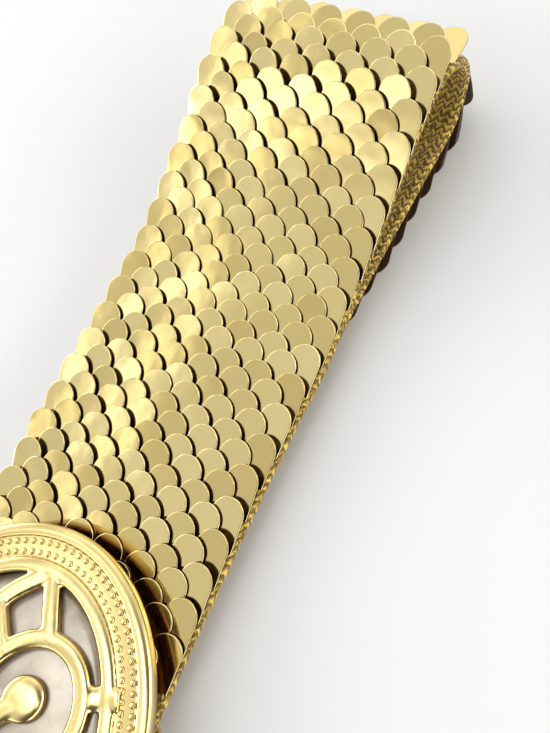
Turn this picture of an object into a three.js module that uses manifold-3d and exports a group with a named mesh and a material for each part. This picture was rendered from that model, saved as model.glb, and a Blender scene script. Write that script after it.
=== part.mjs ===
// Wide stretch belt: an elastic band covered with overlapping metal scales, closed by a domed oval
// openwork buckle. It lies pressed flat as a closed loop, buckle up. Millimetres, +Z up, +X along the belt.
import * as THREE from "three";
import { mergeVertices } from "three/addons/utils/BufferGeometryUtils.js";
import Module from "manifold-3d";

const wasm = await Module();
wasm.setup();

// Belt: driving dimensions
const BELT_WIDTH = 60;
const SCALES_ACROSS = 7;
const PITCH = BELT_WIDTH / SCALES_ACROSS;
const ROW_PERIOD = 7.46; // from one row of seven to the next
const OFFSET_ROW = 0.44; // a row of six lies this share of a period nearer the buckle
const BAND_WIDTH = 61; // the selvedges show a little beyond the scales
const BAND_THICK = 2.2;
const BAND_EASE = 0.5; // its eased edges
const SEAM = 0.3;

// Loop lying flat: the lower layer on the surface, the upper one on it, a bulb at each bend
const HALF_LOOP = 180; // middle of the buckle to the outermost point of the band's middle surface
const LAYER_STEP = 3.7; // between the middle surfaces of the two layers where they lie together
const RAMP = 75; // length over which the upper layer rises to the bend
const RAMP_ANGLE = 23; // steepest slope of that rise, degrees
const RAMP_SKEW = 0.58; // below 1 the steepest place lies nearer the bend
const SWAY = 2.9; // the belt snakes a little to each side
const BELT_SHIFT = -1.8; // and sits a little to one side in its clasp
const LOWER_SHIFT = 2.4; // the lower layer lies a little to one side

// Scale relief
const RELIEF_LOW = 1.0;
const RELIEF_HIGH = 1.8;
const UNDER_THICK = 1.9;
const SCALLOP_SEVEN = 2.9; // how far the head line runs back between two heads
const SCALLOP_SIX = 3.4;
const TIP_HALF = 0.22; // half of a head's blunt tip, in pitches
const JUT = 3.0; // how far heads stand off where the belt turns
const JUT_SHARE = 0.45; // share of that at the foot of the next row
const FIRST_TIP = 0.12; // tip row nearest each bend's start, in periods past it
const ROW_CLEAR = 0.5; // a row this near a skin's end is left out
const NARROWEST = 1; // a half head narrower than this at the belt's edge is left out

// Levels above the surface
const BASE_LIFT = SEAM + BAND_THICK / 2;
const Z_LOW = UNDER_THICK + BASE_LIFT;
const Z_TOP = Z_LOW + LAYER_STEP;

// End clamps and clasp, hidden under the buckle
const CLAMP_INNER = 12;
const CLAMP_OUTER = 20;
const CLAMP_WALL = 0.8;
const CLAMP_WIDTH = BAND_WIDTH;
const BAND_END = CLAMP_INNER + CLAMP_WALL + SEAM;
const SCALES_START = CLAMP_OUTER + SEAM;
const CLASP_WIDTH = 30;
const CLASP_THICK = 1.2;
const CLASP_LEVEL = Z_TOP - 0.5;
const CLASP_REACH = 5.5;
const BAR_HALF = 1.5;
const HOOK_WIDTH = 20;
const HOOK_TIP = 2.4; // how far the hook's tip stands up behind the bar

// Buckle
const BUCKLE_LONG = 46; // half length along the belt
const BUCKLE_SHORT = 37; // half width across it
const BUCKLE_BACK = Z_TOP + BASE_LIFT + UNDER_THICK + SEAM;
const BACK_THICK = 2.0;
const BACK_INSET = 5;
const BACK_EASE = { share: 0.98, up: 0.6 }; // its eased lower edge
const FRAME_FOOT = BUCKLE_BACK + BACK_THICK + SEAM;
const FIELD_INSET = 10.1; // from the rim to the openwork field
const FIELD_LONG = BUCKLE_LONG - FIELD_INSET;
const FIELD_SHORT = BUCKLE_SHORT - FIELD_INSET;
const FIELD_RISE = 4.0;
const FIELD_SPRING = 3.6;
const FIELD_THICK = 1.8;
const INLAY_THICK = 1.2;
const INLAY_SHARE = 0.985; // of the field's half sizes
const FIELD_SHARE = 1.005; // the openwork reaches a little into the rim
const ROUND_STEPS = 44; // sections round the oval
const FIELD_RINGS = 5; // rings from the field's middle to its edge
const INLAY_RINGS = 4;
const RING_STEPS = 32;
const LOBE_SIDES = 20;
const KNOT_STEPS = 3; // steps for each knot of a curved bar

// Frame rim section: distance in from the rim, height above the frame's foot
const RIM_SECTION = [
  { inset: 0.5, up: 0 },
  { inset: 0, up: 0.5 },
  { inset: 0, up: 2.6 },
  { inset: 0.6, up: 3.6 },
  { inset: 1.6, up: 4.0 },
  { inset: 2.7, up: 3.7 },
  { inset: 2.9, up: 3.1 },
  { inset: 7.3, up: 3.2 },
  { inset: 7.5, up: 3.9 },
  { inset: 9.0, up: 4.3 },
  { inset: 10.4, up: 3.7 },
  { inset: 10.4, up: 0 },
];

// Openwork: scroll rings, lobes and bars of one half. The other half is the same, turned half round.
const RINGS = [{ x: 12.2, y: -8.5, long: 13.6, short: 11.4, width: 3.8 }];
const LOBES = [{ x: 14.2, y: -7.9, radius: 4.5 }];
const BARS = [
  { name: "lobe stem", width: 4.6, line: [[0, 0], [6, -2.6], [12.5, -6.8]] },
  { name: "tip spoke", width: 3.9, line: [[25, -6.6], [32.4, -1.4], [37.8, 2.2]] },
  {
    name: "long rod",
    width: 4.2,
    line: [[36.5, 1.6], [31.5, 5.8], [27, 8.4], [18, 11.6], [8, 12.6], [-2, 11]],
  },
  { name: "short tie", width: 2.4, line: [[26.5, 7.5], [22.5, 3.5], [19.5, 0.5]] },
  { name: "side bridge", width: 4.8, line: [[19.5, -18], [22.8, -25]] },
  { name: "long edge spoke", width: 3.0, line: [[8, -19], [5, -23], [4.8, -28]] },
  { name: "crescent spoke", width: 2.6, line: [[13.5, 12.3], [16, 18], [15.5, 26]] },
];

const colours = { scales: 0xd9bf7c, band: 0x9c7f30, gold: 0xe9c874, pearl: 0xb4aaa0, steel: 0xc9b27a };
function metal(colour) {
  return new THREE.MeshStandardMaterial({ color: colour, roughness: 0.25, metalness: 1 });
}
function cloth(colour) {
  return new THREE.MeshStandardMaterial({ color: colour, roughness: 0.9, metalness: 0 });
}
function pearl(colour) {
  return new THREE.MeshStandardMaterial({ color: colour, roughness: 0.3, metalness: 0 });
}

// The ramp, integrated in small steps from the flat stretch up to the bend
const rampTable = [{ s: 0, x: 0, z: 0, slope: 0 }];
const RAMP_STEPS = 150;
for (let i = 1; i <= RAMP_STEPS; i++) {
  const last = rampTable[i - 1];
  const left = 1 - i / RAMP_STEPS;
  const slope = THREE.MathUtils.degToRad(RAMP_ANGLE) * Math.sin(Math.PI * left ** RAMP_SKEW);
  const step = RAMP / RAMP_STEPS;
  const middle = (slope + last.slope) / 2;
  const x = last.x + step * Math.cos(middle);
  rampTable.push({ s: i * step, x, z: last.z + step * Math.sin(middle), slope });
}
const rampEnd = rampTable[RAMP_STEPS];
const BEND_RADIUS = (Z_TOP + rampEnd.z - Z_LOW) / 2;
const BEND_X = HALF_LOOP - BEND_RADIUS;
const FLAT_LENGTH = BEND_X - rampEnd.x;
const BEND_START = FLAT_LENGTH + RAMP;
const BEND_END = BEND_START + Math.PI * BEND_RADIUS;
const HALF_PATH = BEND_END + BEND_X;

// Point of the band's middle surface, by the distance s from the buckle's middle round the right half
function halfPath(s) {
  if (s <= FLAT_LENGTH) return { x: s, z: Z_TOP, turn: 0 };
  if (s <= BEND_START) {
    const place = ((s - FLAT_LENGTH) / RAMP) * RAMP_STEPS;
    const low = rampTable[Math.min(Math.floor(place), RAMP_STEPS - 1)];
    const high = rampTable[Math.min(Math.floor(place) + 1, RAMP_STEPS)];
    const share = place - Math.floor(place);
    const x = FLAT_LENGTH + THREE.MathUtils.lerp(low.x, high.x, share);
    const z = Z_TOP + THREE.MathUtils.lerp(low.z, high.z, share);
    return { x, z, turn: -THREE.MathUtils.lerp(low.slope, high.slope, share) };
  }
  if (s <= BEND_END) {
    const turn = (s - BEND_START) / BEND_RADIUS;
    const z = Z_LOW + BEND_RADIUS * (1 + Math.cos(turn));
    return { x: BEND_X + BEND_RADIUS * Math.sin(turn), z, turn };
  }
  return { x: BEND_X - (s - BEND_END), z: Z_LOW, turn: Math.PI };
}

// Point on the loop at distance s, at y across the belt and h out from the middle surface.
// The left half mirrors the right one.
function loopPoint(s, y, h) {
  const mirrored = s > HALF_PATH;
  const at = halfPath(mirrored ? 2 * HALF_PATH - s : s);
  const side = mirrored ? -1 : 1;
  const x = side * (at.x + h * Math.sin(at.turn));
  const z = at.z + h * Math.cos(at.turn);
  const lower = at.turn > 0 ? (1 - Math.cos(at.turn)) / 2 : 0;
  const sway = SWAY * Math.sin((Math.PI * side * at.x) / HALF_LOOP);
  return [x, y + BELT_SHIFT + sway + LOWER_SHIFT * lower, z];
}

// How far round the bend a distance s lies: 0 where flat, 1 at the outermost point
function bendShare(s) {
  const near = s > HALF_PATH ? 2 * HALF_PATH - s : s;
  if (near < BEND_START || near > BEND_END) return 0;
  return Math.sin((near - BEND_START) / BEND_RADIUS) ** 2;
}

function meshOf(name, positions, triangles, material) {
  const geometry = new THREE.BufferGeometry();
  geometry.setAttribute("position", new THREE.Float32BufferAttribute(positions.flat(), 3));
  geometry.setIndex(triangles.flat());
  const mesh = new THREE.Mesh(geometry, material);
  mesh.name = name;
  return mesh;
}

// Stretches of the loop and how far apart a plain strip's sections may lie there
const STRETCHES = [
  { end: FLAT_LENGTH, step: 24 },
  { end: BEND_START, step: 5 },
  { end: BEND_END, step: 2.4 },
  { end: 2 * HALF_PATH - BEND_END, step: 24 },
  { end: 2 * HALF_PATH - BEND_START, step: 2.4 },
  { end: 2 * HALF_PATH - FLAT_LENGTH, step: 5 },
  { end: 2 * HALF_PATH, step: 24 },
];
function stations(from, to) {
  const list = [from];
  for (const { end, step } of STRETCHES) {
    const start = list[list.length - 1];
    const stop = Math.min(end, to);
    if (stop <= start) continue;
    const count = Math.ceil((stop - start) / step);
    for (let i = 1; i <= count; i++) list.push(start + ((stop - start) * i) / count);
  }
  return list;
}

// A strip of the loop between two distances, with a closed section given as [y, h] points
function loopStrip(name, from, to, section, material) {
  const positions = [];
  const triangles = [];
  const places = stations(from, to);
  const n = section.length;
  for (const s of places) {
    for (const [y, h] of section) positions.push(loopPoint(s, y, h));
  }
  for (let i = 0; i < places.length - 1; i++) {
    for (let j = 0; j < n; j++) {
      const a = i * n + j;
      const b = i * n + ((j + 1) % n);
      triangles.push([a, a + n, b], [b, a + n, b + n]);
    }
  }
  const last = (places.length - 1) * n;
  for (let j = 1; j < n - 1; j++) {
    triangles.push([0, j, j + 1], [last, last + j + 1, last + j]);
  }
  return meshOf(name, positions, triangles, material);
}

// Head line of a row: knots across the belt, each with its share of the scallop's depth
function rowKnots(heads) {
  const knots = [{ y: -BELT_WIDTH / 2, back: 1 }];
  for (let j = 0; j < heads; j++) {
    const centre = (j - (heads - 1) / 2) * PITCH;
    if (centre - PITCH / 2 > -BELT_WIDTH / 2 + NARROWEST) knots.push({ y: centre - PITCH / 2, back: 1 });
    knots.push({ y: centre - TIP_HALF * PITCH, back: 0 });
    knots.push({ y: centre + TIP_HALF * PITCH, back: 0 });
  }
  if (heads < SCALES_ACROSS) knots.push({ y: (heads * PITCH) / 2, back: 1 });
  knots.push({ y: BELT_WIDTH / 2, back: 1 });
  return knots;
}

// Triangles between two lines of knots that both run across the belt, nearer one first
function stitch(near, far, triangles) {
  let i = 0;
  let j = 0;
  while (i < near.length - 1 || j < far.length - 1) {
    const stepNear = j === far.length - 1 || (i < near.length - 1 && near[i + 1].y <= far[j + 1].y);
    if (stepNear) {
      triangles.push([near[i].id, far[j].id, near[i + 1].id]);
      i += 1;
    } else {
      triangles.push([near[i].id, far[j].id, far[j + 1].id]);
      j += 1;
    }
  }
}

// Skin of scales over a stretch of the loop. Each tread rises to the heads of its row and drops to
// the next row there, as the plates overlap.
function scaleSkin(name, from, to) {
  const positions = [];
  const triangles = [];
  const inner = [];
  function addLine(knots, tip, depth, height) {
    return knots.map((knot) => {
      const s = tip - depth * knot.back;
      positions.push(loopPoint(s, knot.y, BASE_LIFT + height(s)));
      return { y: knot.y, id: positions.length - 1 };
    });
  }
  function addInner(s) {
    const ids = [-1, 1].map((side) => {
      positions.push(loopPoint(s, (side * BELT_WIDTH) / 2, BASE_LIFT));
      return positions.length - 1;
    });
    inner.push(ids);
  }
  const low = (s) => RELIEF_LOW + JUT_SHARE * JUT * bendShare(s);
  const high = (s) => RELIEF_HIGH + JUT * bendShare(s);
  const ends = [{ y: -BELT_WIDTH / 2, back: 0 }, { y: BELT_WIDTH / 2, back: 0 }];
  const rows = [];
  const firstPeriod = Math.floor((from - BEND_START) / ROW_PERIOD) - 1;
  const lastPeriod = Math.ceil((to - BEND_START) / ROW_PERIOD) + 1;
  for (let k = firstPeriod; k <= lastPeriod; k++) {
    const tip = BEND_START + (k + FIRST_TIP) * ROW_PERIOD;
    rows.push({ tip: tip - OFFSET_ROW * ROW_PERIOD, depth: SCALLOP_SIX, heads: SCALES_ACROSS - 1 });
    rows.push({ tip, depth: SCALLOP_SEVEN, heads: SCALES_ACROSS });
  }
  let tread = addLine(ends, from, 0, low);
  const first = tread;
  addInner(from);
  const wall = (side, corner, id) => {
    const [a, b] = [inner[inner.length - 2][side], inner[inner.length - 1][side]];
    triangles.push(side ? [a, corner, b] : [a, b, corner], side ? [b, corner, id] : [b, id, corner]);
  };
  const edge = (line, side) => line[side ? line.length - 1 : 0].id;
  for (const row of rows) {
    if (row.tip - row.depth < from + ROW_CLEAR || row.tip > to - ROW_CLEAR) continue;
    const knots = rowKnots(row.heads);
    const heads = addLine(knots, row.tip, row.depth, high);
    const foot = addLine(knots, row.tip, row.depth, low);
    addInner(row.tip - row.depth);
    stitch(tread, heads, triangles);
    stitch(heads, foot, triangles);
    for (const side of [0, 1]) {
      wall(side, edge(tread, side), edge(heads, side));
      const under = inner[inner.length - 1][side];
      const [up, down] = [edge(heads, side), edge(foot, side)];
      triangles.push(side ? [under, up, down] : [under, down, up]);
    }
    tread = foot;
  }
  const last = addLine(ends, to, 0, high);
  addInner(to);
  stitch(tread, last, triangles);
  for (const side of [0, 1]) wall(side, edge(tread, side), edge(last, side));
  for (let i = 0; i < inner.length - 1; i++) {
    const [[a, b], [c, d]] = [inner[i], inner[i + 1]];
    triangles.push([a, b, c], [b, d, c]);
  }
  const [[a, b], [c, d]] = [inner[0], inner[inner.length - 1]];
  triangles.push([a, first[0].id, b], [b, first[0].id, first[1].id]);
  triangles.push([c, d, last[0].id], [d, last[1].id, last[0].id]);
  return meshOf(name, positions, triangles, metal(colours.scales));
}

// Elastic band with eased edges
function elasticBand() {
  const [w, t, ease] = [BAND_WIDTH / 2, BAND_THICK / 2, BAND_EASE];
  const section = [
    [-w + ease, -t], [-w, -t + ease], [-w, t - ease], [-w + ease, t],
    [w - ease, t], [w, t - ease], [w, -t + ease], [w - ease, -t],
  ];
  return loopStrip("elastic_band", BAND_END, 2 * HALF_PATH - BAND_END, section, cloth(colours.band));
}

function underSkin(from, to) {
  const w = BELT_WIDTH / 2;
  const top = BASE_LIFT + UNDER_THICK;
  const section = [[-w, BASE_LIFT], [-w, top], [w, top], [w, BASE_LIFT]];
  return loopStrip("scales_under", from, to, section, metal(colours.scales));
}

// A flat profile in X and Z, given a width across the belt
function crossPiece(name, outline, width, middleY) {
  const shape = new THREE.Shape(outline.map(([x, z]) => new THREE.Vector2(x, z)));
  const geometry = new THREE.ExtrudeGeometry(shape, { depth: width, bevelEnabled: false });
  geometry.rotateX(Math.PI / 2);
  const mesh = new THREE.Mesh(geometry, metal(colours.steel));
  mesh.name = name;
  mesh.position.y = middleY + width / 2;
  return mesh;
}

// Folded strip over one end of the band
function endClamp(name, side) {
  const reach = BASE_LIFT;
  const [inside, outside] = [side * CLAMP_INNER, side * CLAMP_OUTER];
  const web = side * (CLAMP_INNER + CLAMP_WALL);
  const outline = [
    [outside, Z_TOP + reach], [web, Z_TOP + reach], [web, Z_TOP - reach], [outside, Z_TOP - reach],
    [outside, Z_TOP - reach - CLAMP_WALL], [inside, Z_TOP - reach - CLAMP_WALL],
    [inside, Z_TOP + reach + CLAMP_WALL], [outside, Z_TOP + reach + CLAMP_WALL],
  ];
  const sway = SWAY * Math.sin((Math.PI * side * CLAMP_OUTER) / HALF_LOOP);
  return crossPiece(name, outline, CLAMP_WIDTH, BELT_SHIFT + sway);
}

// Plate from the right clamp up to the buckle's back
function claspPlate() {
  const [bottom, top] = [CLASP_LEVEL, CLASP_LEVEL + CLASP_THICK];
  const roof = BUCKLE_BACK - SEAM;
  const outline = [
    [CLAMP_INNER - SEAM, bottom], [CLAMP_INNER - SEAM, top], [CLASP_REACH + CLASP_THICK, top],
    [CLASP_REACH + CLASP_THICK, roof], [CLASP_REACH, roof], [CLASP_REACH, bottom],
  ];
  return crossPiece("clasp_plate", outline, CLASP_WIDTH, 0);
}

// Hook on the left clamp: it passes under the bar and turns up behind it
function claspHook() {
  const [bottom, top] = [CLASP_LEVEL - CLASP_THICK, CLASP_LEVEL];
  const tipIn = BAR_HALF + SEAM;
  const tipOut = tipIn + CLASP_THICK;
  const outline = [
    [-CLAMP_INNER + SEAM, bottom], [tipOut, bottom], [tipOut, top + HOOK_TIP], [tipIn, top + HOOK_TIP],
    [tipIn, top], [-CLAMP_INNER + SEAM, top],
  ];
  return crossPiece("clasp_hook", outline, HOOK_WIDTH, 0);
}

// Bar on the buckle's back that the hook holds
function claspBar() {
  const foot = CLASP_LEVEL + SEAM;
  const roof = BUCKLE_BACK - SEAM;
  const outline = [[-BAR_HALF, foot], [BAR_HALF, foot], [BAR_HALF, roof], [-BAR_HALF, roof]];
  return crossPiece("clasp_bar", outline, CLASP_WIDTH, 0);
}

// Oval solid of revolution: a profile of share and height, stretched to two half sizes
function ovalGeometry(profile, long, short, foot) {
  const points = profile.map(({ share, up }) => new THREE.Vector2(share, up));
  const geometry = new THREE.LatheGeometry(points, ROUND_STEPS);
  geometry.rotateX(Math.PI / 2);
  geometry.scale(long, short, 1);
  geometry.translate(0, 0, foot);
  return geometry;
}

// Oval rim of even width: the section runs round the buckle's outline
function rimGeometry() {
  const positions = [];
  const triangles = [];
  const n = RIM_SECTION.length;
  for (let i = 0; i < ROUND_STEPS; i++) {
    const angle = (2 * Math.PI * i) / ROUND_STEPS;
    for (const { inset, up } of RIM_SECTION) {
      const [long, short] = [BUCKLE_LONG - inset, BUCKLE_SHORT - inset];
      positions.push(long * Math.cos(angle), short * Math.sin(angle), FRAME_FOOT + up);
    }
    const next = ((i + 1) % ROUND_STEPS) * n;
    for (let j = 0; j < n; j++) {
      const k = (j + 1) % n;
      triangles.push(i * n + j, next + j, i * n + k, next + j, next + k, i * n + k);
    }
  }
  const geometry = new THREE.BufferGeometry();
  geometry.setAttribute("position", new THREE.Float32BufferAttribute(positions, 3));
  geometry.setIndex(triangles);
  return geometry;
}

// Joined solid from a closed geometry: shared corners merged, empty faces left out
function solidOf(geometry) {
  const bare = geometry.clone();
  bare.deleteAttribute("normal");
  bare.deleteAttribute("uv");
  const merged = mergeVertices(bare, 1e-4);
  const index = merged.index.array;
  const kept = [];
  for (let i = 0; i < index.length; i += 3) {
    const [a, b, c] = [index[i], index[i + 1], index[i + 2]];
    if (a !== b && b !== c && c !== a) kept.push(a, b, c);
  }
  const vertProperties = new Float32Array(merged.attributes.position.array);
  return new wasm.Manifold(new wasm.Mesh({ numProp: 3, vertProperties, triVerts: new Uint32Array(kept) }));
}

function geometryOf(solid) {
  const { vertProperties, triVerts } = solid.getMesh();
  const geometry = new THREE.BufferGeometry();
  geometry.setAttribute("position", new THREE.BufferAttribute(vertProperties, 3));
  geometry.setIndex(new THREE.BufferAttribute(triVerts, 1));
  return geometry;
}

// Domed plate over the field: out along its underside and back along its top
function domeProfile(edge, drop, thick, rings) {
  const height = (share) => FIELD_SPRING + FIELD_RISE * (1 - share ** 2) - drop;
  const profile = [];
  for (let i = 0; i <= rings; i++) {
    const share = (edge * i) / rings;
    profile.push({ share, up: height(share) - thick });
  }
  for (let i = rings; i >= 0; i--) {
    const share = (edge * i) / rings;
    profile.push({ share, up: height(share) });
  }
  return profile;
}

const CUT_DEPTH = 20;
function barGeometry({ line, width }) {
  const curve = new THREE.SplineCurve(line.map(([x, y]) => new THREE.Vector2(x, y)));
  const points = curve.getPoints(line.length > 2 ? KNOT_STEPS * line.length : 1);
  const left = [];
  const right = [];
  points.forEach((point, i) => {
    const before = points[Math.max(i - 1, 0)];
    const after = points[Math.min(i + 1, points.length - 1)];
    const run = after.clone().sub(before).normalize();
    const across = new THREE.Vector2(-run.y, run.x).multiplyScalar(width / 2);
    right.push(point.clone().sub(across));
    left.unshift(point.clone().add(across));
  });
  const outline = new THREE.Shape([...right, ...left]);
  return new THREE.ExtrudeGeometry(outline, { depth: CUT_DEPTH, bevelEnabled: false });
}
function lobeGeometry({ x, y, radius }) {
  const disc = new THREE.CylinderGeometry(radius, radius, CUT_DEPTH, LOBE_SIDES);
  disc.rotateX(Math.PI / 2);
  disc.translate(x, y, CUT_DEPTH / 2);
  return disc;
}
function ringGeometry({ x, y, long, short, width }) {
  const ring = new THREE.Shape();
  ring.absellipse(x, y, long + width / 2, short + width / 2, 0, 2 * Math.PI);
  const hole = new THREE.Path();
  hole.absellipse(x, y, long - width / 2, short - width / 2, 0, 2 * Math.PI);
  ring.holes.push(hole);
  const options = { depth: CUT_DEPTH, bevelEnabled: false, curveSegments: RING_STEPS };
  return new THREE.ExtrudeGeometry(ring, options);
}

function buckleFrame() {
  const profile = domeProfile(FIELD_SHARE, 0, FIELD_THICK, FIELD_RINGS);
  const field = ovalGeometry(profile, FIELD_LONG, FIELD_SHORT, FRAME_FOOT);
  const shapes = [...RINGS.map(ringGeometry), ...LOBES.map(lobeGeometry), ...BARS.map(barGeometry)];
  const half = shapes.map(solidOf).reduce((joined, next) => joined.add(next));
  const bars = half.add(half.rotate([0, 0, 180])).translate([0, 0, FRAME_FOOT - CUT_DEPTH / 4]);
  const frame = solidOf(rimGeometry()).add(solidOf(field).intersect(bars));
  const mesh = new THREE.Mesh(geometryOf(frame), metal(colours.gold));
  mesh.name = "buckle_frame";
  return mesh;
}

function buckleInlay() {
  const profile = domeProfile(INLAY_SHARE, FIELD_THICK + SEAM, INLAY_THICK, INLAY_RINGS);
  const geometry = ovalGeometry(profile, FIELD_LONG, FIELD_SHORT, FRAME_FOOT);
  const inlay = new THREE.Mesh(geometry, pearl(colours.pearl));
  inlay.name = "buckle_inlay";
  return inlay;
}

function buckleBack() {
  const profile = [
    { share: 0, up: 0 }, { share: BACK_EASE.share, up: 0 }, { share: 1, up: BACK_EASE.up },
    { share: 1, up: BACK_THICK }, { share: 0, up: BACK_THICK },
  ];
  const geometry = ovalGeometry(profile, BUCKLE_LONG - BACK_INSET, BUCKLE_SHORT - BACK_INSET, BUCKLE_BACK);
  const back = new THREE.Mesh(geometry, metal(colours.steel));
  back.name = "buckle_back";
  return back;
}

const LOOP = 2 * HALF_PATH;
const HALF_GAP = SEAM / 2;
const UNDER_FROM = BEND_END + HALF_GAP;

const belt = new THREE.Group();
belt.name = "stretch_belt";
belt.add(
  elasticBand(),
  scaleSkin("scales_upper_right", SCALES_START, BEND_START - HALF_GAP),
  scaleSkin("scales_fold_right", BEND_START + HALF_GAP, BEND_END - HALF_GAP),
  underSkin(UNDER_FROM, LOOP - UNDER_FROM),
  scaleSkin("scales_fold_left", LOOP - BEND_END + HALF_GAP, LOOP - BEND_START - HALF_GAP),
  scaleSkin("scales_upper_left", LOOP - BEND_START + HALF_GAP, LOOP - SCALES_START),
  endClamp("end_clamp_right", 1),
  endClamp("end_clamp_left", -1),
  claspPlate(),
  claspHook(),
  claspBar(),
  buckleBack(),
  buckleInlay(),
  buckleFrame(),
);

export default belt;
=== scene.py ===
# %% [markdown]
# # Wide stretch belt with an oval openwork buckle
# The belt is an elastic band covered with overlapping stamped metal scales. It lies on a pale surface as a
# closed loop pressed flat, buckle up. Here the scales, the knitted elastic and the cast buckle get
# the finer form that the solids only outline. Everything below is worked out in millimetres and turned into metres
# where a mesh is made.

import math

import bpy
import numpy as np
from mathutils import Matrix


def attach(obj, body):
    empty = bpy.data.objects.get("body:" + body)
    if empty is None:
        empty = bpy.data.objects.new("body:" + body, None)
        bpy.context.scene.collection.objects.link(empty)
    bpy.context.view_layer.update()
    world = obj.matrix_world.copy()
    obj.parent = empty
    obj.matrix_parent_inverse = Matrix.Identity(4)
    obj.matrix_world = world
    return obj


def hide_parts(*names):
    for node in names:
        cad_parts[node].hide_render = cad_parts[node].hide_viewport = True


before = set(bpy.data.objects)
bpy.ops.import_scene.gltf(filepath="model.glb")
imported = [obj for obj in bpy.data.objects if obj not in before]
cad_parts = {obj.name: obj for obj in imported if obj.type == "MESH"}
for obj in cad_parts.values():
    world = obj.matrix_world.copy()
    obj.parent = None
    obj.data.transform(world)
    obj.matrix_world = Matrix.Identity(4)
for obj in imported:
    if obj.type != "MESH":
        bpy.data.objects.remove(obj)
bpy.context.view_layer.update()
MM = 0.001
rng = np.random.default_rng(41)
print("nodes:", len(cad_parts))

# %% [markdown]
# ## Camera
# The picture is a close-up from above the buckle's end, looking along the belt to its fold. Position,
# direction and focal length were worked out from the rows of heads, the belt's edges and the buckle's rim, which all
# have known sizes in the model. The sensor is 36 mm on the long side.

# %% Camera
EYE = np.array([53.44655, -86.52552, 167.04602])
CAMERA_RIGHT = np.array([0.44624, -0.86031, -0.24645])
CAMERA_DOWN = np.array([-0.86014, -0.33630, -0.38348])
CAMERA_AHEAD = np.cross(CAMERA_RIGHT, CAMERA_DOWN)
LENS = 38.79

camera_data = bpy.data.cameras.new("camera")
camera_data.lens = LENS
camera_data.sensor_width = 36
camera_data.clip_start = 0.01
camera_data.clip_end = 20
camera = bpy.data.objects.new("camera", camera_data)
bpy.context.scene.collection.objects.link(camera)
pose = Matrix.Identity(4)
for row in range(3):
    pose[row][0] = CAMERA_RIGHT[row]
    pose[row][1] = -CAMERA_DOWN[row]
    pose[row][2] = -CAMERA_AHEAD[row]
    pose[row][3] = EYE[row] * MM
camera.matrix_world = pose
bpy.context.scene.camera = camera
print("camera at", EYE, "lens", LENS)

# %% [markdown]
# ## The loop
# A stretch belt that is laid down closed doesn't crease at its ends. The elastic is too thick, so it stands up in a
# round bend, with a ramp down to where both layers lie together under the buckle. The band's middle surface runs
# along that path: flat, ramp, bend of even radius, and back flat along the surface. The left half mirrors the right.
# The solids were made on the same path, so each scale and each stitch sits where the solids say.

# %% Sizes of the loop
BELT_WIDTH = 60
SCALES_ACROSS = 7
PITCH = BELT_WIDTH / SCALES_ACROSS
ROW_PERIOD = 7.46  # from one row of seven to the next
OFFSET_ROW = 0.44  # share of it by which a row of six lies back
BAND_WIDTH = 61
BAND_THICK = 2.2
Z_LOW = 3.3  # middle surface of the lower layer
Z_TOP = 7.0  # and of the upper one under the buckle
HALF_LOOP = 180
RAMP = 75
RAMP_ANGLE = math.radians(23)  # its steepest slope
RAMP_SKEW = 0.58  # below 1 the steepest place lies nearer the bend
RAMP_STEPS = 150
SWAY = 2.9  # the belt snakes a little to each side
SHIFT = -1.8  # sits a little to one side in its clasp
LOWER_SHIFT = 2.4  # and its lower layer to the other
BAND_END = 13.1  # where the clamps take the elastic's ends

left_share = 1 - np.arange(RAMP_STEPS + 1) / RAMP_STEPS
ramp_slope = RAMP_ANGLE * np.sin(math.pi * left_share**RAMP_SKEW)
middle_slope = (ramp_slope[1:] + ramp_slope[:-1]) / 2
ramp_step = RAMP / RAMP_STEPS
ramp_x = np.concatenate([[0], np.cumsum(ramp_step * np.cos(middle_slope))])
ramp_z = np.concatenate([[0], np.cumsum(ramp_step * np.sin(middle_slope))])
BEND_RADIUS = (Z_TOP + ramp_z[-1] - Z_LOW) / 2
BEND_X = HALF_LOOP - BEND_RADIUS
FLAT_LENGTH = BEND_X - ramp_x[-1]
BEND_START = FLAT_LENGTH + RAMP
BEND_END = BEND_START + math.pi * BEND_RADIUS
HALF_PATH = BEND_END + BEND_X
print("bend radius", round(BEND_RADIUS, 2), "half path", round(HALF_PATH, 1))


# %% Path functions
def half_path(s):
    """Place and turn of the band's middle surface on the right half, for distances s from the buckle's middle."""
    place = np.clip((s - FLAT_LENGTH) / ramp_step, 0, RAMP_STEPS)
    steps = np.arange(RAMP_STEPS + 1)
    bend = (s - BEND_START) / BEND_RADIUS
    where = [s <= FLAT_LENGTH, s <= BEND_START, s <= BEND_END]
    x = np.select(
        where,
        [s, FLAT_LENGTH + np.interp(place, steps, ramp_x), BEND_X + BEND_RADIUS * np.sin(bend)],
        BEND_X - (s - BEND_END),
    )
    z = np.select(
        where,
        [Z_TOP + 0 * s, Z_TOP + np.interp(place, steps, ramp_z), Z_LOW + BEND_RADIUS * (1 + np.cos(bend))],
        Z_LOW,
    )
    turn = np.select(where, [0 * s, -np.interp(place, steps, ramp_slope), bend], math.pi)
    return x, z, turn


def loop_point(s, y, h):
    """Points at distance s round the loop, y across the belt and h out from the middle surface."""
    s, y, h = np.broadcast_arrays(np.asarray(s, float), np.asarray(y, float), np.asarray(h, float))
    mirrored = s > HALF_PATH
    x, z, turn = half_path(np.where(mirrored, 2 * HALF_PATH - s, s))
    side = np.where(mirrored, -1.0, 1.0)
    lower = np.where(turn > 0, (1 - np.cos(turn)) / 2, 0)
    sway = SHIFT + SWAY * np.sin(math.pi * side * x / HALF_LOOP)
    return np.stack(
        [side * (x + h * np.sin(turn)), y + sway + LOWER_SHIFT * lower, z + h * np.cos(turn)], axis=-1
    )


print("crest of the bend at", loop_point(BEND_START, 0, 0).round(1))


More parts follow.
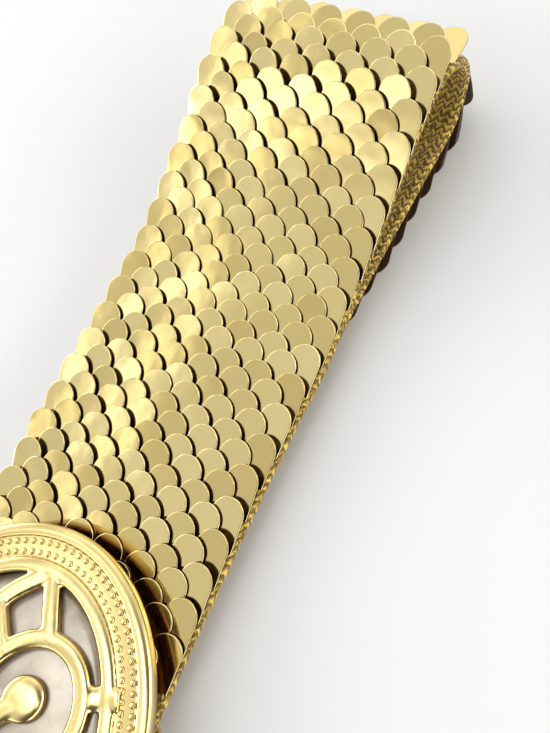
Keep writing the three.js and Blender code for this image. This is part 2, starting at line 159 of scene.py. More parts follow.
# %% Mesh functions
def strips(rings, size, closed=False):
    """Faces between rings of size corners each, from each ring to the next and, if closed, from last to first."""
    faces = []
    for i in range(rings if closed else rings - 1):
        after = ((i + 1) % rings) * size
        for j in range(size):
            k = (j + 1) % size
            faces.append([i * size + j, i * size + k, after + k, after + j])
    return faces


def cap_faces(top, rings, sides):
    """Faces of a cap whose top corner has that number and whose rings of corners follow it."""
    faces = []
    for side in range(sides):
        after = (side + 1) % sides
        faces.append([top, top + 1 + side, top + 1 + after])
        for ring in range(rings - 1):
            a = top + 1 + ring * sides
            faces.append([a + side, a + sides + side, a + sides + after, a + after])
    return faces


def mesh_piece(name, points_mm, faces):
    """A smooth mesh object from points in millimetres and faces given as rows of corner numbers."""
    mesh = bpy.data.meshes.new(name)
    mesh.from_pydata((np.asarray(points_mm) * MM).tolist(), [], [list(map(int, face)) for face in faces])
    mesh.validate()
    mesh.update()
    mesh.shade_smooth()
    piece = bpy.data.objects.new(name, mesh)
    bpy.context.scene.collection.objects.link(piece)
    return piece


print("mesh functions defined")

# %% [markdown]
# ## Scales
# Each scale is stamped from thin plated sheet: a full round head nearly as wide as the pitch, tapering to a narrow
# root that is clipped through the elastic. The face is almost flat, and only a narrow line along its rim is eased,
# where the punch drew the sheet. So a head mirrors the room as one even tone with a fine bright line round it.
# All plates come from one die, so one template is made and laid many times. The plates under the belt lie against
# the surface, and a coarser rim is enough for them.

# %% Sizes of a scale
SCALE_LENGTH = 11.5
HEAD_RADIUS = 3.82
ROOT_HALF = 2.4
SHEET_THICK = 0.48
BURR = 0.06  # bevel of the cut edge's lower corner
EASE = 0.18  # width of the eased rim
EASE_DEEP = 0.15
FLAT_FROM = 0.3  # a ring of corners this far in keeps the face flat
CROWN = 0.025
HEAD_STEPS = 22
TAPER_STEPS = 4
BACK_STRIPS = 2  # strips of faces, from the bottom, that belong to the back and cut edge
NARROWING = HEAD_RADIUS - ROOT_HALF
TAPER_LEAN = math.asin(NARROWING / math.hypot(SCALE_LENGTH - HEAD_RADIUS, NARROWING))
print("sides of a plate lean", round(math.degrees(TAPER_LEAN), 1), "degrees")

# %% [markdown]
# The template is built in rings of corners, each the same outline moved in and up: the cut edge, the eased rim and
# the start of the flat face. The last ring is closed from side to side, and so is the back.

# %% Scale template
def scale_outline(inset):
    """The plate's outline from the root round the head and back, moved in by inset. u runs to the head, v across."""
    radius = HEAD_RADIUS - inset
    centre = SCALE_LENGTH - HEAD_RADIUS
    root_half = ROOT_HALF - inset
    angles = np.linspace(-math.pi / 2 - TAPER_LEAN, math.pi / 2 + TAPER_LEAN, HEAD_STEPS)
    head = np.stack([centre + radius * np.cos(angles), radius * np.sin(angles)], axis=1)
    root = np.array([[inset, root_half], [inset, -root_half]])
    down = [root[0] * share + head[-1] * (1 - share) for share in np.arange(1, TAPER_STEPS) / TAPER_STEPS]
    up = [head[0] * share + root[1] * (1 - share) for share in np.arange(1, TAPER_STEPS) / TAPER_STEPS]
    return np.concatenate([head, down, root, up])


def crowned(outline, level):
    """Outline points lifted onto the plate's slightly crowned form."""
    drop = CROWN * (outline[:, 1] / HEAD_RADIUS) ** 2
    return np.column_stack([outline, level - drop])


def plate_template(ease_angles):
    """Corners, faces and face materials (0 face, 1 back and cut edge) of one plate with an eased upper edge."""
    rings = [crowned(scale_outline(BURR), 0), crowned(scale_outline(0), BURR)]
    for angle in np.radians(ease_angles):
        inset, deep = EASE * (1 - math.cos(angle)), EASE_DEEP * (1 - math.sin(angle))
        rings.append(crowned(scale_outline(inset), SHEET_THICK - deep))
    rings.append(crowned(scale_outline(FLAT_FROM), SHEET_THICK))
    size = len(rings[0])
    faces = strips(len(rings), size)
    back = [int(i < BACK_STRIPS * size) for i in range(len(faces))]
    last_ring = (len(rings) - 1) * size
    for i in range(size // 2 - 1):
        low, high = i, size - 1 - i
        faces.append([last_ring + low, last_ring + low + 1, last_ring + high - 1, last_ring + high])
        faces.append([high, high - 1, low + 1, low])
        back.extend([0, 1])
    return np.concatenate(rings), np.array(faces), np.array(back)


shown_plate = plate_template([0, 30, 60, 90])
under_plate = plate_template([0, 90])
print("corners in a plate", len(shown_plate[0]), "faces", len(shown_plate[1]))

# %% [markdown]
# Rows of seven and of six take turns round the whole loop, and the scales keep one direction, as they would when the
# strip is made flat and closed into a belt afterwards. The row nearest the bend's start fixes where all others lie.

# %% Rows of heads round the whole loop
FIRST_TIP = -0.02  # in rows past the bend's start
SCALES_START = 20.3
LOOP = 2 * HALF_PATH

first_row = math.ceil((SCALES_START + SCALE_LENGTH - BEND_START) / ROW_PERIOD)
last_row = math.floor((LOOP - SCALES_START - BEND_START) / ROW_PERIOD)
heads = []
for k in range(first_row, last_row + 1):
    tip = BEND_START + (k + FIRST_TIP) * ROW_PERIOD
    for across, along in ((SCALES_ACROSS, 0), (SCALES_ACROSS - 1, OFFSET_ROW * ROW_PERIOD)):
        for j in range(across):
            heads.append((tip - along, (j - (across - 1) / 2) * PITCH))
heads = np.array(heads)
print("scales:", len(heads))

# %% [markdown]
# ### How a plate lies
# A root is sunk a little into the elastic and its head rests on the next row, so every plate is tilted. Under the
# belt and beside the buckle the plates are pressed flatter. The tilt eases over the crest of the bend, and just
# before it a skewed band of plates stands off a few degrees more, because the elastic starts to turn away below them.
# That band mirrors the bright wall behind, as the brightest heads in the photograph do. The clips leave play, more
# toward the far edge, so each plate has its own small seeded turns. Along the near edge the plates turn outward
# with the taper of their roots. Round the bend they flare past the edge and show their backs, dark with painted
# shade, beyond the fold, apart from one row that is tucked in.

# %% Tilts and turns of a plate
TILT = math.radians(16.5)
PRESSED_TILT = math.radians(8.1)
UNDER_TILT = math.radians(8.1)
FREE_FROM, FREE_TO = 34.0, 54.0  # distances from the buckle over which pressed plates come free
UNDER_BLEND = 0.3  # bend radii past the bend's start where plates begin to lie as under the belt
ROOT_LIFT = 0.7
UNDER_ROOT_LIFT = 1.15
CREST_TILT = math.radians(10)
CREST_FROM, CREST_TO = 152.0, 168.0
STAND_OFF = math.radians(4)
STAND_FROM, STAND_FULL, STAND_LAST, STAND_TO = 144.0, 153.0, 160.0, 168.0
STAND_SKEW = 0.25
STAND_INSIDE, STAND_EDGE = 12.0, 22.0  # the standing off fades toward the far edge
LOOSE_FROM, LOOSE_TO = 0, 22
STAND_SPREAD, TILT_SPREAD, YAW_SPREAD = 0.02, 0.007, 0.018
ROLL_SPREAD, LOOSE_ROLL_SPREAD = 0.012, 0.02
LIFT_SPREAD = 0.04
EDGE_LINE = -(BELT_WIDTH / 2 - PITCH)
FLARE = 0.2
FLARE_OUT = 0.7
FLARE_FROM, FLARE_FULL = BEND_START + 0.9 * BEND_RADIUS, BEND_START + 1.7 * BEND_RADIUS
FLARE_LAST, FLARE_TO = BEND_END + 15, BEND_END + 60
TUCK = 0.42
TUCKED_FROM = BEND_START + 7.5
print("tilt on the free stretch", round(math.degrees(TILT), 1), "degrees")

# %% Pose of a plate
def smooth_share(value, low, high):
    """0 below low, 1 above high and an even rise between them."""
    share = np.clip((value - low) / (high - low), 0, 1)
    return share * share * (3 - 2 * share)


def plate_pose(tip, y):
    """Root distance, y, lift, tilt, roll and yaw of the plate whose head ends at tip."""
    root = tip - SCALE_LENGTH
    near = min(root, LOOP - root)
    under = float(smooth_share(near, BEND_START + UNDER_BLEND * BEND_RADIUS, BEND_END))
    free = float(smooth_share(tip, FREE_FROM, FREE_TO) * smooth_share(LOOP - root, FREE_FROM, FREE_TO))
    askew = near + STAND_SKEW * y
    standing = float(
        smooth_share(askew, STAND_FROM, STAND_FULL)
        * (1 - smooth_share(askew, STAND_LAST, STAND_TO))
        * (1 - smooth_share(y, STAND_INSIDE, STAND_EDGE))
    )
    upper_tilt = PRESSED_TILT + (TILT - PRESSED_TILT) * free
    upper_tilt -= (TILT - CREST_TILT) * float(smooth_share(near, CREST_FROM, CREST_TO))
    upper_tilt += (STAND_OFF + rng.normal(0, STAND_SPREAD)) * standing
    tilt = upper_tilt + (UNDER_TILT - upper_tilt) * under + rng.normal(0, TILT_SPREAD) * (1 - under)
    lift = ROOT_LIFT + (UNDER_ROOT_LIFT - ROOT_LIFT) * under
    lift += rng.uniform(-LIFT_SPREAD, LIFT_SPREAD) * (1 - under)
    loose = float(smooth_share(y, LOOSE_FROM, LOOSE_TO))
    roll = rng.normal(0, ROLL_SPREAD + LOOSE_ROLL_SPREAD * loose) * (1 - under)
    yaw = rng.normal(0, YAW_SPREAD)
    if y < EDGE_LINE:
        flare = float(smooth_share(root, FLARE_FROM, FLARE_FULL) * (1 - smooth_share(root, FLARE_LAST, FLARE_TO)))
        yaw += TAPER_LEAN - FLARE * flare
        if TUCKED_FROM < root < TUCKED_FROM + ROW_PERIOD:
            yaw += TUCK
        y -= (SCALE_LENGTH - HEAD_RADIUS) * math.sin(TAPER_LEAN) + FLARE_OUT * flare
    return root, y, lift, tilt, roll, yaw


print("pose of a plate defined")

# %% [markdown]
# A plate is stiff, so it is laid straight along the band's direction at its root, and heads fan out where the band
# turns. On the lower half of the right bend straight plates would be pushed into the surface, so there they follow
# the band. Any that would still dip below the surface rests on it instead.

# %% Lay the plates
PRESSED_FROM, PRESSED_TO = 1.45, 1.8  # angle round the bend, in radians
CLEAR_OF_SURFACE = 0.03
SHARP = math.radians(38)
PATTERN_STEP = 50  # moves each plate to its own part of the metal's pattern


def lay_scales(name, rows, template):
    """One joined mesh of a plate for each (tip distance, y) row, with a tint value and its own u and v on each."""
    template_points, template_faces, template_back = template
    points, tints, places = [], [], []
    for tip, head_y in rows:
        root, y, lift, tilt, roll, yaw = plate_pose(tip, head_y)
        u, v, w = template_points.T
        w = w + roll * v
        turned_u = u * math.cos(yaw) - v * math.sin(yaw)
        turned_v = u * math.sin(yaw) + v * math.cos(yaw)
        height = turned_u * math.tan(tilt) + w
        start = loop_point(root, y, lift)
        ahead = loop_point(root + 0.5, y, lift) - loop_point(root - 0.5, y, lift)
        ahead /= np.linalg.norm(ahead)
        out = loop_point(root, y, lift + 1) - start
        across = np.cross(out, ahead)
        straight = start + turned_u[:, None] * ahead + turned_v[:, None] * across + height[:, None] * out
        bent = loop_point(root + turned_u, y + turned_v, lift + height)
        pressed = 0.0
        if BEND_START < root < BEND_END:
            pressed = float(smooth_share((root - BEND_START) / BEND_RADIUS, PRESSED_FROM, PRESSED_TO))
        laid = straight * (1 - pressed) + bent * pressed
        laid[:, 2] += max(0.0, CLEAR_OF_SURFACE - laid[:, 2].min())
        points.append(laid)
        tints.append(np.full(len(u), rng.uniform()))
        places.append(np.column_stack([u, v]))
    count = len(template_points)
    faces = np.concatenate([template_faces + i * count for i in range(len(rows))])
    piece = mesh_piece(name, np.concatenate(points), faces)
    piece.data.polygons.foreach_set("material_index", np.tile(template_back, len(rows)))
    piece.data.set_sharp_from_angle(angle=SHARP)
    tint = piece.data.attributes.new("tint", "FLOAT", "POINT")
    tint.data.foreach_set("value", np.concatenate(tints))
    place = piece.data.attributes.new("place", "FLOAT_VECTOR", "POINT")
    uv = np.concatenate(places)
    place.data.foreach_set("vector", np.column_stack([uv, np.concatenate(tints) * PATTERN_STEP]).ravel())
    print(name, len(rows), "plates, lowest z", round(float(np.concatenate(points)[:, 2].min()), 2))
    return piece


# %% Scale pieces, one for each stretch of the loop
FOLD_FROM = BEND_START + 1  # heads that end here or later stand round the right bend
FOLD_TO = BEND_END + 6
tips = heads[:, 0]
spans = {
    "scales_upper_right": (0, FOLD_FROM),
    "scales_fold_right": (FOLD_FROM, FOLD_TO),
    "scales_under": (FOLD_TO, LOOP - BEND_END),
    "scales_fold_left": (LOOP - BEND_END, LOOP - BEND_START),
    "scales_upper_left": (LOOP - BEND_START, LOOP),
}
scale_pieces = {}
for node, (low, high) in spans.items():
    rows = heads[(tips >= low) & (tips < high)]
    template = under_plate if node == "scales_under" else shown_plate
    piece = lay_scales(node.replace("scales_", "plates_"), rows, template)
    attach(piece, "root")
    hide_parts(node)
    scale_pieces[node] = piece
print("pieces of scales:", ", ".join(scale_pieces))

# %% [markdown]
# ## Elastic
# The band is a thick knitted elastic in yellow-brown yarn with a gold thread. Only its edge and the inside of the
# bulb show beside the scales. A knitting machine turns its yarn back at each edge, which makes a rounded selvedge,
# fuller than the band. Its stitches stand out as short slanting loops, so they are modelled as relief there, on the
# stretch that shows, and left to the material on the flat faces. Round the bend the outer yarns are drawn taut and
# the selvedge swells. On the ramp it is drawn in behind the scales.

# %% Sizes of the elastic
EDGE_PULL = 0.5
SELVEDGE_OUT = 1.3
SELVEDGE_IN = 1.2
SELVEDGE_WIDE = 1.7
FULLER = 0.3
SELVEDGE_SWELL = 1.05
FLAT_COLUMNS, ROUND_COLUMNS = 9, 15
TUCKED_IN = 0.9
TUCK_FROM, TUCK_FULL = 100, 125
TUCK_LAST, TUCK_TO = BEND_START - 4, BEND_START + 6
FULLER_TO = BEND_START + 1.6 * BEND_RADIUS
STITCH_LONG = 2.1
STITCH_HIGH = 1.1
STITCH_RELIEF = 0.42
STITCH_SLANT = 0.9
STITCH_FLATTEN = 0.8  # relief counts less in height than outward
YARN_UNEVEN = 0.05
FINE_STEP = 0.34
COARSE_STEP = 1.3
FINE_FROM, FINE_TO = 92.0, 330.0
print("stitches on the stretch that shows:", round((FINE_TO - FINE_FROM) / STITCH_LONG))

# %% [markdown]
# The section is flat above and below and round at both edges. Each of its points also has a share of the stitches'
# relief: none on the flat faces and all of it at the edge.

# %% Section of the elastic
half_band = BAND_WIDTH / 2 - EDGE_PULL
half_thick = BAND_THICK / 2
flat_across = np.linspace(-half_band + SELVEDGE_WIDE, half_band - SELVEDGE_WIDE, FLAT_COLUMNS)
round_angles = np.linspace(0, math.pi, ROUND_COLUMNS)[1:-1]
mid_edge = (SELVEDGE_OUT - SELVEDGE_IN) / 2
half_edge = (SELVEDGE_OUT + SELVEDGE_IN) / 2


def selvedge(side, angles):
    """Section points (y, h, share of relief) round the rounded edge on one side, 1 or -1."""
    return [
        (
            side * (half_band - SELVEDGE_WIDE + SELVEDGE_WIDE * SELVEDGE_SWELL * math.sin(angle)),
            mid_edge + half_edge * math.cos(angle),
            math.sin(angle) ** 0.5,
        )
        for angle in angles
    ]


section = [(y, half_thick, 0.0) for y in flat_across]
section += selvedge(1, round_angles)
section += [(y, -half_thick, 0.0) for y in flat_across[::-1]]
section += selvedge(-1, round_angles[::-1])
section = np.array(section)
print("points in the section", len(section))

# %% [markdown]
# The section is repeated at stations round the loop, close together where the edge shows. Waves along and across
# the edge give the stitches, and a little unevenness keeps the yarn from looking machined.

# %% Stitches at the edge
band_stations = np.concatenate(
    [
        np.arange(BAND_END, FINE_FROM, COARSE_STEP),
        np.arange(FINE_FROM, FINE_TO, FINE_STEP),
        np.linspace(FINE_TO, LOOP - BAND_END, int((LOOP - BAND_END - FINE_TO) / COARSE_STEP)),
    ]
)
s_grid = band_stations[:, None]
y_grid = section[None, :, 0]
h_grid = section[None, :, 1]
edge_grid = section[None, :, 2]
fine = ((s_grid > FINE_FROM) & (s_grid < FINE_TO)).astype(float)
above_middle = h_grid - mid_edge
slant = np.sign(above_middle) * STITCH_SLANT
phase = 2 * math.pi * (s_grid / STITCH_LONG + slant * above_middle)
along_loop = np.abs(np.sin(phase / 2)) ** 0.7
round_loop = np.abs(np.sin(math.pi * above_middle / STITCH_HIGH + 0.5 * math.pi)) ** 0.5
uneven = rng.normal(0, YARN_UNEVEN, size=(len(band_stations), len(section)))
relief = edge_grid * fine * (STITCH_RELIEF * (along_loop * round_loop - 0.5) + uneven)
fuller = smooth_share(s_grid, BEND_START, FULLER_TO) * FULLER
tucked = smooth_share(s_grid, TUCK_FROM, TUCK_FULL) * (1 - smooth_share(s_grid, TUCK_LAST, TUCK_TO)) * TUCKED_IN
print("stations", len(band_stations), "deepest stitch mm", round(float(np.ptp(relief)), 2))

# %% Elastic band
norm_y = np.sign(y_grid) * edge_grid
norm_h = above_middle / half_edge * edge_grid
band_points = loop_point(
    s_grid + 0 * y_grid,
    y_grid + (relief + fuller - tucked) * norm_y,
    h_grid + relief * norm_h * STITCH_FLATTEN + 0 * s_grid,
)
ring = len(section)
band_faces = strips(len(band_stations), ring)
band_faces.append(list(range(ring))[::-1])
band_faces.append(list(range((len(band_stations) - 1) * ring, len(band_stations) * ring)))
elastic = mesh_piece("knitted_elastic", band_points.reshape(-1, 3), band_faces)
girth = np.concatenate([[0], np.cumsum(np.hypot(np.diff(section[:, 0]), np.diff(section[:, 1])))])
knit_places = np.stack([s_grid + 0 * y_grid, girth[None, :] + 0 * s_grid, 0 * s_grid + 0 * y_grid], axis=-1)
stitches = elastic.data.attributes.new("stitches", "FLOAT_VECTOR", "POINT")
stitches.data.foreach_set("vector", knit_places.ravel().astype(np.float32))
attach(elastic, "root")
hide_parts("elastic_band")
print("elastic faces", len(band_faces), "length mm", round(LOOP - 2 * BAND_END, 1))

# %% [markdown]
# ## Buckle frame
# The buckle is one polished casting. From the rim inward it has a smooth band, a sunk track with two rows of small
# cast beads, a narrow smooth band, and then rounded scroll bars that bridge a domed field. The rim is swept round
# the oval from its section. The bars are swept on nearly the same middle lines as the solids, with softly flattened
# tops, joined with the inner band by a fine remesh and relaxed, which gives the soft corners of a casting.

# %% Sizes of the buckle
BUCKLE_LONG = 46
BUCKLE_SHORT = 37
FRAME_FOOT = 12.9
FIELD_INSET = 10.1
FIELD_LONG = BUCKLE_LONG - FIELD_INSET
FIELD_SHORT = BUCKLE_SHORT - FIELD_INSET
FIELD_RISE = 4.0
FIELD_SPRING = 3.6
FIELD_THICK = 1.8
ROUND_STEPS = 256
print("buckle", 2 * BUCKLE_LONG, "by", 2 * BUCKLE_SHORT, "mm")


def catmull(points, steps):
    """Even steps along a smooth curve through the points."""
    points = np.asarray(points, float)
    padded = np.vstack([points[0], points, points[-1]])
    curve = []
    for i in range(len(points) - 1):
        p0, p1, p2, p3 = padded[i : i + 4]
        for t in np.arange(steps) / steps:
            curve.append(
                0.5
                * (
                    2 * p1
                    + (p2 - p0) * t
                    + (2 * p0 - 5 * p1 + 4 * p2 - p3) * t**2
                    + (3 * p1 - p0 - 3 * p2 + p3) * t**3
                )
            )
    curve.append(points[-1])
    return np.array(curve)


def swept_oval(section_points):
    """Points and faces of a closed section of (inset, up) carried round the buckle's outline."""
    angles = 2 * math.pi * np.arange(ROUND_STEPS) / ROUND_STEPS
    inset, up = section_points.T
    x = (BUCKLE_LONG - inset)[None] * np.cos(angles)[:, None]
    y = (BUCKLE_SHORT - inset)[None] * np.sin(angles)[:, None]
    z = FRAME_FOOT + up[None] + 0 * x
    faces = [[a, d, c, b] for a, b, c, d in strips(ROUND_STEPS, len(section_points), closed=True)]
    return np.stack([x, y, z], axis=-1).reshape(-1, 3), faces


# %% [markdown]
# A section is given by its knots, each an inset from the outline and a height over the frame's foot.

# %% Rim and bead track
outer_knots = [(0.6, 0.05), (0.1, 0.3), (0.0, 1.0), (0.0, 2.5), (0.2, 3.15)]
rim_knots = [*outer_knots, (0.75, 3.6), (1.7, 3.85), (2.6, 3.7), (2.95, 3.35)]
track_knots = [(3.0, 3.05), (5.1, 3.0), (7.2, 3.1), (7.6, 3.3), (7.8, 1.5), (7.8, 0.1)]
rim_section = np.vstack([catmull(rim_knots, 5), catmull(track_knots, 4)])
rim_points, rim_faces = swept_oval(rim_section)
rim = mesh_piece("buckle_rim", rim_points, rim_faces)
print("rim faces", len(rim_faces))

# %% [markdown]
# The beads are half balls that the mould gives, spaced evenly along each of two ovals, with one row half a step
# behind the other. Casting and tumbling leave them a little unlike in size and height.

# %% Beads
BEAD_RADIUS = 0.74
BEAD_PITCH = 1.95
BEAD_TRACK = 3.05
BEAD_INSETS = (4.0, 6.25)
BEAD_SUNK = 0.12
BEAD_SIZES = (0.9, 1.04)
BEAD_SQUASH = (0.62, 0.8)
OVAL_STEPS = 2001
bead_rings, bead_sides = 4, 10
bead_points, bead_faces = [], []
for row, inset in enumerate(BEAD_INSETS):
    dense = np.linspace(0, 2 * math.pi, OVAL_STEPS)
    ox, oy = (BUCKLE_LONG - inset) * np.cos(dense), (BUCKLE_SHORT - inset) * np.sin(dense)
    run = np.concatenate([[0], np.cumsum(np.hypot(np.diff(ox), np.diff(oy)))])
    count = int(round(run[-1] / BEAD_PITCH))
    for i in range(count):
        at = (i + 0.5 * row) / count * run[-1]
        cx, cy = np.interp(at, run, ox), np.interp(at, run, oy)
        size = BEAD_RADIUS * rng.uniform(*BEAD_SIZES)
        squash = rng.uniform(*BEAD_SQUASH)
        base = len(bead_points)
        bead_points.append((cx, cy, FRAME_FOOT + BEAD_TRACK + size * squash))
        for r in range(1, bead_rings + 1):
            angle = 0.5 * math.pi * r / bead_rings
            for side in range(bead_sides):
                turn = 2 * math.pi * side / bead_sides
                reach = size * math.sin(angle)
                bead_points.append(
                    (
                        cx + reach * math.cos(turn),
                        cy + reach * math.sin(turn),
                        FRAME_FOOT + BEAD_TRACK - BEAD_SUNK + (size * squash + BEAD_SUNK) * math.cos(angle),
                    )
                )
        bead_faces.extend(cap_faces(base, bead_rings, bead_sides))
beads = mesh_piece("buckle_beads", np.array(bead_points), bead_faces)
print("beads faces", len(bead_faces))

# %% [markdown]
# Scrolls, a ring and a lobe are an ordinary ornament of such buckles. Each bar is a line through a few places and a
# width. One half is given, and the same shapes turned half round make the other.

# %% Sizes of the openwork
RING = {"x": 12.2, "y": -8.5, "long": 13.6, "short": 11.4, "width": 3.8}
LOBE = {"x": 14.2, "y": -7.9, "radius": 4.5}
BARS = [
    {"width": 4.6, "line": [(0, 0), (6, -2.6), (12.5, -6.8)]},
    {"width": 3.9, "line": [(25, -6.6), (32.4, -1.4), (36.6, 1.6)]},
    {"width": 4.2, "line": [(36.5, 1.6), (31.5, 5.8), (27, 8.4), (18, 11.6), (8, 12.6), (-2, 11)]},
    {"width": 2.4, "line": [(26.5, 7.5), (22.5, 3.5), (19.5, 0.5)]},
    {"width": 4.8, "line": [(19.5, -18), (22.8, -25)]},
    {"width": 3.0, "line": [(8, -19), (5, -23), (4.8, -28)]},
    {"width": 2.6, "line": [(13.5, 12.3), (16, 18), (15.5, 26)]},
]
CROWN_UP = 0.55
TOP_SHARE = 0.7  # below 1 a bar's top is flatter than round
BAR_RISE = 1.15
BAR_FOOT = 1.95
BAR_COLUMNS = 11
BAR_STEPS = 8
RING_SIDES = 72
LOBE_SIDES = 28
print("bars in one half:", len(BARS))

# %% [markdown]
# A bar's section has a softly flattened top over straight sides. It is carried along the bar's line, square to it,
# and lifted onto the dome of the field.

# %% Sweep of a bar
def dome(x, y):
    """Height of the openwork field's top at a place."""
    share = (x / FIELD_LONG) ** 2 + (y / FIELD_SHORT) ** 2
    return FRAME_FOOT + FIELD_SPRING + FIELD_RISE * (1 - np.minimum(share, 1.0))


def bar_section(width):
    """Softly flattened top over straight sides: points across and up from the dome."""
    angles = np.linspace(0, math.pi, BAR_COLUMNS)
    rise = min(width / 2, BAR_RISE)
    top = [
        (
            -width / 2 * math.copysign(abs(math.cos(a)) ** TOP_SHARE, math.cos(a)),
            CROWN_UP - rise + rise * max(math.sin(a), 0.0) ** TOP_SHARE,
        )
        for a in angles
    ]
    return np.array([(-width / 2, -BAR_FOOT), *top, (width / 2, -BAR_FOOT)])


def swept_bar(line, width, closed=False):
    """A rounded bar on the dome along a smooth line of (x, y)."""
    if closed:
        path = np.asarray(line, float)
        before, after = np.roll(path, 1, axis=0), np.roll(path, -1, axis=0)
    else:
        path = catmull(line, BAR_STEPS)
        before = np.vstack([path[:1], path[:-1]])
        after = np.vstack([path[1:], path[-1:]])
    run = after - before
    run /= np.linalg.norm(run, axis=1)[:, None]
    across = np.stack([-run[:, 1], run[:, 0]], axis=1)
    shape = bar_section(width)
    n = len(shape)
    points = []
    for place, side in zip(path, across):
        level = dome(*place)
        for a, up in shape:
            points.append((*(place + side * a), level + up))
    faces = strips(len(path), n, closed)
    if not closed:
        faces.append(list(range(n))[::-1])
        faces.append(list(range((len(path) - 1) * n, len(path) * n)))
    return np.array(points), faces


print("dome's top at", round(float(dome(0, 0)), 1), "mm")

# %% Ring and bars
tracery_points, tracery_faces = [], []


def take(points, faces):
    """Adds a closed shell, as it is and turned half round, to the tracery."""
    for turn in (1, -1):
        base = sum(len(p) for p in tracery_points)
        tracery_points.append(points * np.array([turn, turn, 1]))
        tracery_faces.extend([[c + base for c in face] for face in faces])


ring_angles = 2 * math.pi * np.arange(RING_SIDES) / RING_SIDES
ring_x = RING["x"] + RING["long"] * np.cos(ring_angles)
ring_y = RING["y"] + RING["short"] * np.sin(ring_angles)
ring_line = np.stack([ring_x, ring_y], axis=1)
take(*swept_bar(ring_line, RING["width"], closed=True))
for bar in BARS:
    take(*swept_bar(bar["line"], bar["width"]))
print("ring and bars:", len(tracery_points), "shells")

# %% [markdown]
# The lobe is a round button. It takes half of a bar's section and turns it about the button's middle.

# %% Lobe
lobe_section = bar_section(2 * LOBE["radius"])
lobe_half = lobe_section[: len(lobe_section) // 2 + 1]
lobe_points, lobe_faces = [], []
for side in range(LOBE_SIDES):
    turn = 2 * math.pi * side / LOBE_SIDES
    for a, up in lobe_half[:-1]:
        x, y = LOBE["x"] - a * math.cos(turn), LOBE["y"] - a * math.sin(turn)
        lobe_points.append((x, y, dome(x, y) + up))
half_count = len(lobe_half) - 1
for side in range(LOBE_SIDES):
    a, b = side * half_count, ((side + 1) % LOBE_SIDES) * half_count
    for j in range(half_count - 1):
        lobe_faces.append([a + j, b + j, b + j + 1, a + j + 1])
centre_top = len(lobe_points)
lobe_points.append((LOBE["x"], LOBE["y"], dome(LOBE["x"], LOBE["y"]) + CROWN_UP))
lobe_points.append((LOBE["x"], LOBE["y"], dome(LOBE["x"], LOBE["y"]) - BAR_FOOT))
for side in range(LOBE_SIDES):
    a, b = side * half_count, ((side + 1) % LOBE_SIDES) * half_count
    lobe_faces.append([a + half_count - 1, b + half_count - 1, centre_top])
    lobe_faces.append([b, a, centre_top + 1])
take(np.array(lobe_points), lobe_faces)
print("lobe faces", len(lobe_faces))

# %% [markdown]
# A smooth inner band closes the field's edge and hides where the bars end. It goes right round, so it is added once.

# %% Inner band
track_side = [(7.35, 0.1), (7.3, 1.6), (7.35, 3.3), (7.7, 3.8)]
inner_knots = [*track_side, (8.8, 4.15), (9.9, 4.2), (10.4, 3.8), (10.45, 2.0), (10.45, 0.1)]
inner_points, inner_faces = swept_oval(catmull(inner_knots, 3))
base = sum(len(p) for p in tracery_points)
tracery_points.append(inner_points)
tracery_faces.extend([[c + base for c in face] for face in inner_faces])
openwork = mesh_piece("buckle_openwork", np.concatenate(tracery_points), tracery_faces)
print("shells in the openwork:", len(tracery_points))

# %% Join the openwork in one casting
VOXEL = 0.33
RELAX_TURNS = 6
remesh = openwork.modifiers.new("cast in one", "REMESH")
remesh.mode = "VOXEL"
remesh.voxel_size = VOXEL * MM
remesh.use_smooth_shade = True
relax = openwork.modifiers.new("soften corners", "SMOOTH")
relax.factor = 0.5
relax.iterations = RELAX_TURNS
evaluated = openwork.evaluated_get(bpy.context.evaluated_depsgraph_get())
cast_mesh = bpy.data.meshes.new_from_object(evaluated)
openwork.modifiers.clear()
openwork.data = cast_mesh
cast_mesh.shade_smooth()
print("openwork faces", len(cast_mesh.polygons))

# %% [markdown]
# The feet of bars and beads, the lower side of the rim and the sunk places of the openwork get painted shade. So
# each corner keeps how far it lies below the top face, and the material darkens it by that.

# %% Mark where shade is painted
INNER_BAND_AT = 0.74  # share of the oval outside which the inner band's level counts
INNER_BAND_UP = 4.0
SHADE_FROM, SHADE_OVER = 0.35, 1.3
RIM_FACE_UP = 2.6
BEAD_BRIGHT_UP = 0.35


def mark_painted_shade(piece, painted_shade):
    """Keeps on each corner how far it lies below the top face, 0 to 1, as its share of painted shade."""
    attribute = piece.data.attributes.new("painted_shade", "FLOAT", "POINT")
    attribute.data.foreach_set("value", np.clip(painted_shade, 0, 1).astype(np.float32))


def corners_mm(piece):
    """A piece's corners as rows of x, y, z in millimetres."""
    flat = np.empty(len(piece.data.vertices) * 3)
    piece.data.vertices.foreach_get("co", flat)
    return flat.reshape(-1, 3) / MM


# painted shade: the share grows with depth below the top face of each part
cast = corners_mm(openwork)
edge_share = np.hypot(cast[:, 0] / BUCKLE_LONG, cast[:, 1] / BUCKLE_SHORT)
bar_tops = dome(cast[:, 0], cast[:, 1]) + CROWN_UP
face_level = np.where(edge_share > INNER_BAND_AT, FRAME_FOOT + INNER_BAND_UP, bar_tops)
mark_painted_shade(openwork, (face_level - cast[:, 2] - SHADE_FROM) / SHADE_OVER)
swept = corners_mm(rim)
mark_painted_shade(rim, (RIM_FACE_UP - (swept[:, 2] - FRAME_FOOT)) / RIM_FACE_UP)
dots = corners_mm(beads)
mark_painted_shade(beads, (BEAD_BRIGHT_UP - (dots[:, 2] - FRAME_FOOT - BEAD_TRACK)) / BEAD_BRIGHT_UP)
for piece in (rim, beads, openwork):
    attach(piece, "root")
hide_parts("buckle_frame")
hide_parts("buckle_frame")
print("buckle height mm", round(float(cast[:, 2].max()), 1))

# %% [markdown]
# ## Inlay
# Behind the openwork lies a domed plate in a pearl colour, as pressed resin on a metal cup would give. It follows
# the dome of the openwork one seam below it, with a closed underside.

